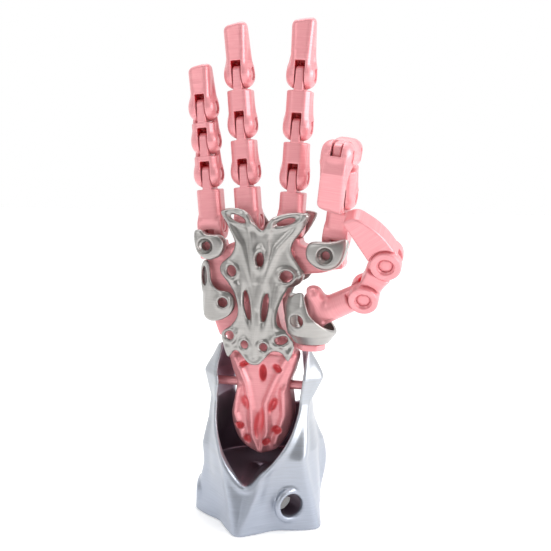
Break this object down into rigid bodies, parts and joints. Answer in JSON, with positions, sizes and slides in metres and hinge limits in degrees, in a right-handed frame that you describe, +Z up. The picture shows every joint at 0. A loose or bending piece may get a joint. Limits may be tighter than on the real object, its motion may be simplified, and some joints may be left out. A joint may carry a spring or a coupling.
{
  "type": "prosthetic hand",
  "caption": "Articulated printed prosthetic right hand: pin-jointed fingers and thumb on a ribbed palm, rocking on a wrist axle in a hollow forearm stand.",
  "frame": {"origin": "centre of the socket's mouth in the underside of the stand's foot", "axes": "+Z up along the forearm and the straight fingers, -Y out of the palm, +X towards the thumb side"},
  "size_m": [0.1217, 0.0817, 0.2759],
  "materials": {
    "pink_silk_plastic": "silk layered print, soft satin sheen",
    "silver_silk_plastic": "silk layered print, metallic satin sheen",
    "blue_silver_silk_plastic": "silk layered print, silver fading to blue grey at the foot"
  },
  "bodies": {
    "forearm": {"forearm_shell": "blue_silver_silk_plastic", "wrist_axle": "pink_silk_plastic"},
    "palm": {"wrist_core": "pink_silk_plastic", "palm_core": "pink_silk_plastic", "palm_plate": "silver_silk_plastic", "back_plate": "silver_silk_plastic", "little_knuckle_cap": "silver_silk_plastic", "index_knuckle_cap": "silver_silk_plastic", "heel_shell": "silver_silk_plastic", "thumb_swivel_pin": "pink_silk_plastic"},
    "little_proximal": {"little_proximal_link": "pink_silk_plastic", "little_proximal_pin": "pink_silk_plastic"},
    "little_middle": {"little_middle_link": "pink_silk_plastic", "little_middle_pin": "pink_silk_plastic"},
    "little_upper": {"little_upper_link": "pink_silk_plastic", "little_upper_pin": "pink_silk_plastic"},
    "little_tip": {"little_tip": "pink_silk_plastic", "little_tip_pin": "pink_silk_plastic"},
    "ring_proximal": {"ring_proximal_link": "pink_silk_plastic", "ring_proximal_pin": "pink_silk_plastic"},
    "ring_middle": {"ring_middle_link": "pink_silk_plastic", "ring_middle_pin": "pink_silk_plastic"},
    "ring_upper": {"ring_upper_link": "pink_silk_plastic", "ring_upper_pin": "pink_silk_plastic"},
    "ring_tip": {"ring_tip": "pink_silk_plastic", "ring_tip_pin": "pink_silk_plastic"},
    "middle_proximal": {"middle_proximal_link": "pink_silk_plastic", "middle_proximal_pin": "pink_silk_plastic"},
    "middle_middle": {"middle_middle_link": "pink_silk_plastic", "middle_middle_pin": "pink_silk_plastic"},
    "middle_upper": {"middle_upper_link": "pink_silk_plastic", "middle_upper_pin": "pink_silk_plastic"},
    "middle_tip": {"middle_tip": "pink_silk_plastic", "middle_tip_pin": "pink_silk_plastic"},
    "index_proximal": {"index_proximal_link": "pink_silk_plastic", "index_proximal_pin": "pink_silk_plastic"},
    "index_middle": {"index_middle_link": "pink_silk_plastic", "index_middle_pin": "pink_silk_plastic"},
    "index_upper": {"index_upper_link": "pink_silk_plastic", "index_upper_pin": "pink_silk_plastic"},
    "index_tip": {"index_tip": "pink_silk_plastic", "index_tip_pin": "pink_silk_plastic"},
    "thumb_base": {"thumb_hub": "pink_silk_plastic", "thenar_shell": "silver_silk_plastic"},
    "thumb_metacarpal": {"thumb_metacarpal_link": "pink_silk_plastic", "thumb_metacarpal_pin": "pink_silk_plastic"},
    "thumb_proximal": {"thumb_proximal_link": "pink_silk_plastic", "thumb_proximal_pin": "pink_silk_plastic"},
    "thumb_tip": {"thumb_tip": "pink_silk_plastic", "thumb_tip_pin": "pink_silk_plastic"}
  },
  "joints": [
    {"name": "wrist_flex", "type": "hinge", "parent": "forearm", "child": "palm", "pos_m": [0, 0, 0.076], "axis": [1, 0, 0], "range_deg": [-12, 12]},
    {"name": "little_knuckle", "type": "hinge", "parent": "palm", "child": "little_proximal", "pos_m": [-0.0293, 0, 0.165], "axis": [0.9976, 0, 0.0698], "range_deg": [0, 48]},
    {"name": "little_first_joint", "type": "hinge", "parent": "little_proximal", "child": "little_middle", "pos_m": [-0.03132, 0, 0.19393], "axis": [0.9976, 0, 0.0698], "range_deg": [0, 66]},
    {"name": "little_second_joint", "type": "hinge", "parent": "little_middle", "child": "little_upper", "pos_m": [-0.0326, 0, 0.21219], "axis": [0.9976, 0, 0.0698], "range_deg": [0, 62]},
    {"name": "little_tip_joint", "type": "hinge", "parent": "little_upper", "child": "little_tip", "pos_m": [-0.03387, 0, 0.23034], "axis": [0.9976, 0, 0.0698], "range_deg": [0, 55]},
    {"name": "ring_knuckle", "type": "hinge", "parent": "palm", "child": "ring_proximal", "pos_m": [-0.008, 0, 0.168], "axis": [0.9979, 0, 0.0645], "range_deg": [0, 30]},
    {"name": "ring_first_joint", "type": "hinge", "parent": "ring_proximal", "child": "ring_middle", "pos_m": [-0.00977, 0, 0.19534], "axis": [0.9979, 0, 0.0645], "range_deg": [0, 70]},
    {"name": "ring_second_joint", "type": "hinge", "parent": "ring_middle", "child": "ring_upper", "pos_m": [-0.01142, 0, 0.22089], "axis": [0.9979, 0, 0.0645], "range_deg": [0, 66]},
    {"name": "ring_tip_joint", "type": "hinge", "parent": "ring_upper", "child": "ring_tip", "pos_m": [-0.01315, 0, 0.24763], "axis": [0.9979, 0, 0.0645], "range_deg": [0, 59]},
    {"name": "middle_knuckle", "type": "hinge", "parent": "palm", "child": "middle_proximal", "pos_m": [0.0161, 0, 0.168], "axis": [0.9977, 0, -0.068], "range_deg": [0, 30]},
    {"name": "middle_first_joint", "type": "hinge", "parent": "middle_proximal", "child": "middle_middle", "pos_m": [0.01778, 0, 0.19264], "axis": [0.9977, 0, -0.068], "range_deg": [0, 70]},
    {"name": "middle_second_joint", "type": "hinge", "parent": "middle_middle", "child": "middle_upper", "pos_m": [0.0196, 0, 0.21938], "axis": [0.9977, 0, -0.068], "range_deg": [0, 66]},
    {"name": "middle_tip_joint", "type": "hinge", "parent": "middle_upper", "child": "middle_tip", "pos_m": [0.02146, 0, 0.24662], "axis": [0.9977, 0, -0.068], "range_deg": [0, 59]},
    {"name": "index_knuckle", "type": "hinge", "parent": "palm", "child": "index_proximal", "pos_m": [0.0416, 0, 0.1615], "axis": [0.989, 0, -0.1478], "range_deg": [-8, 31]},
    {"name": "index_first_joint", "type": "hinge", "parent": "index_proximal", "child": "index_middle", "pos_m": [0.04479, -0.00303, 0.18285], "axis": [0.989, 0, -0.1478], "range_deg": [-17, 23]},
    {"name": "index_second_joint", "type": "hinge", "parent": "index_middle", "child": "index_upper", "pos_m": [0.04821, -0.01381, 0.20571], "axis": [0.989, 0, -0.1478], "range_deg": [-70, 12]},
    {"name": "index_tip_joint", "type": "hinge", "parent": "index_upper", "child": "index_tip", "pos_m": [0.04788, -0.03921, 0.20351], "axis": [0.989, 0, -0.1478], "range_deg": [-83, 2]},
    {"name": "thumb_swivel", "type": "hinge", "parent": "palm", "child": "thumb_base", "pos_m": [0.03, -0.01, 0.1055], "axis": [0, 0, 1], "range_deg": [-6, 30]},
    {"name": "thumb_root_joint", "type": "hinge", "parent": "thumb_base", "child": "thumb_metacarpal", "pos_m": [0.03, -0.01, 0.118], "axis": [0, -0.9063, -0.4226], "range_deg": [-20, 2]},
    {"name": "thumb_middle_joint", "type": "hinge", "parent": "thumb_metacarpal", "child": "thumb_proximal", "pos_m": [0.0593, -0.01686, 0.13272], "axis": [0, -0.9063, -0.4226], "range_deg": [-31, 18]},
    {"name": "thumb_tip_joint", "type": "hinge", "parent": "thumb_proximal", "child": "thumb_tip", "pos_m": [0.07132, -0.02584, 0.15197], "axis": [0, -0.9063, -0.4226], "range_deg": [-64, 8]}
  ]
}
